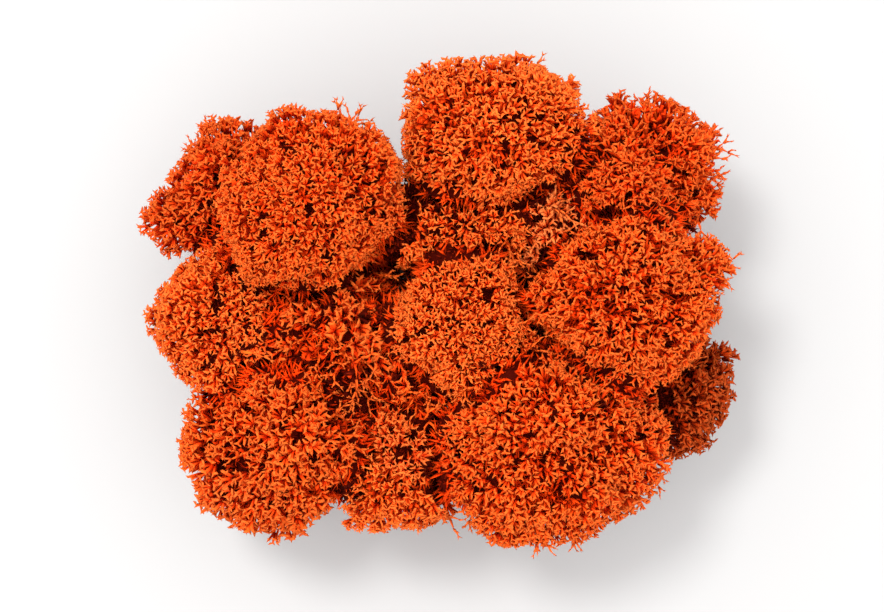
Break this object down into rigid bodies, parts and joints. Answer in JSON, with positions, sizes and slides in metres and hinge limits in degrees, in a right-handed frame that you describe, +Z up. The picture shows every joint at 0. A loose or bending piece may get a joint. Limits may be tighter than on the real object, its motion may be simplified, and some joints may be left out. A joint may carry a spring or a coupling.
{
  "type": "reindeer moss clump",
  "caption": "Dense clump of dried, orange-dyed reindeer moss: round cushion-like tufts of fine forked twigs that fan out from a small flat torn base.",
  "frame": {"origin": "on the surface it rests on, under the middle of the clump's bounding box", "axes": "+Z up, from the torn base to the crowns; +X along the clump's long side; -Y is its front"},
  "size_m": [0.0968, 0.0782, 0.0492],
  "materials": {
    "lichen_orange": "matte",
    "lichen_russet": "matte"
  },
  "bodies": {
    "root": {"tuft_back_left": "lichen_orange", "tuft_right": "lichen_orange", "tuft_back": "lichen_orange", "tuft_front": "lichen_orange", "tuft_centre": "lichen_russet", "tuft_inner_back": "lichen_russet", "tuft_front_left": "lichen_orange", "tuft_mid_left": "lichen_orange", "tuft_back_right": "lichen_orange", "tuft_left": "lichen_orange", "tuft_inner_right": "lichen_russet", "tuft_front_lobe": "lichen_russet", "tuft_inner_front": "lichen_orange", "tuft_back_corner": "lichen_russet", "tuft_right_low": "lichen_russet"}
  },
  "joints": []
}
